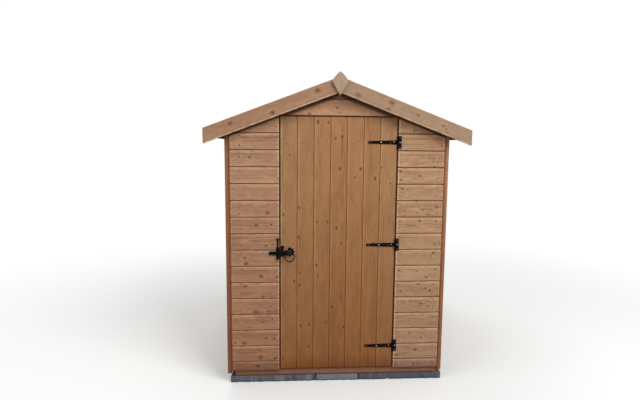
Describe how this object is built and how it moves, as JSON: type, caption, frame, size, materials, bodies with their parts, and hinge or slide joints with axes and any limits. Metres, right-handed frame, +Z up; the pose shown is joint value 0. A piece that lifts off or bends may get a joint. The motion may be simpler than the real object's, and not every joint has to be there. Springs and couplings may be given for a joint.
{
  "type": "wooden garden shed",
  "caption": "Small gable-roofed garden shed of shiplap boards with a ledged and braced door on T hinges, a ring latch, barge boards and finials, on a slab base.",
  "frame": {"origin": "on the ground under the middle of the roof", "axes": "+Z up, +Y from the door wall to the back wall, +X to the right seen from the door side"},
  "size_m": [1.78, 2.316, 2.151],
  "materials": {
    "slab": "rough grey-blue concrete slab",
    "wall_timber": "planed softwood boards, dip treated, knots and grain",
    "door_timber": "planed softwood boards, golden brown dip treatment",
    "frame_timber": "sawn softwood battens",
    "trim_timber": "planed softwood, dip treated",
    "floor_timber": "grooved softwood floor boards",
    "roof_felt": "mineral-faced bitumen roofing felt",
    "black_iron": "black painted steel"
  },
  "bodies": {
    "shed": {"base_slabs": "slab", "floor_joists": "floor_timber", "floor_boards": "floor_timber", "front_cladding_left": "wall_timber", "front_cladding_right": "wall_timber", "front_cladding_gable": "wall_timber", "back_cladding": "wall_timber", "left_cladding": "wall_timber", "right_cladding": "wall_timber", "front_studs": "frame_timber", "front_rails": "frame_timber", "back_studs": "frame_timber", "back_rails": "frame_timber", "left_studs": "frame_timber", "left_rails": "frame_timber", "right_studs": "frame_timber", "right_rails": "frame_timber", "corner_trims": "trim_timber", "roof_boards_left": "frame_timber", "roof_boards_right": "frame_timber", "roof_purlins": "frame_timber", "eaves_rails": "frame_timber", "roof_felt_left": "roof_felt", "roof_felt_right": "roof_felt", "ridge_felt": "roof_felt", "barge_board_front_left": "trim_timber", "barge_board_front_right": "trim_timber", "barge_board_back_left": "trim_timber", "barge_board_back_right": "trim_timber", "finial_front": "trim_timber", "finial_back": "trim_timber", "hinge_plate_top": "black_iron", "hinge_plate_middle": "black_iron", "hinge_plate_bottom": "black_iron", "latch_keep": "black_iron"},
    "door": {"door_boards": "door_timber", "door_ledges": "frame_timber", "door_braces": "frame_timber", "hinge_strap_top": "black_iron", "hinge_strap_middle": "black_iron", "hinge_strap_bottom": "black_iron", "latch_rose": "black_iron", "latch_staple": "black_iron"},
    "latch": {"latch_bar": "black_iron", "latch_knob": "black_iron"},
    "ring": {"ring_handle": "black_iron"}
  },
  "joints": [
    {"name": "door_hinge", "type": "hinge", "parent": "shed", "child": "door", "pos_m": [0.4045, -1.074, 0.9925], "axis": [0, 0, 1], "range_deg": [0, 95]},
    {"name": "latch_turn", "type": "hinge", "parent": "door", "child": "latch", "pos_m": [-0.3285, -1.078, 0.9455], "axis": [0, 1, 0], "range_deg": [0, 18]},
    {"name": "ring_swing", "type": "hinge", "parent": "latch", "child": "ring", "pos_m": [-0.3285, -1.092, 0.9395], "axis": [-1, 0, 0], "range_deg": [0, 160]}
  ]
}
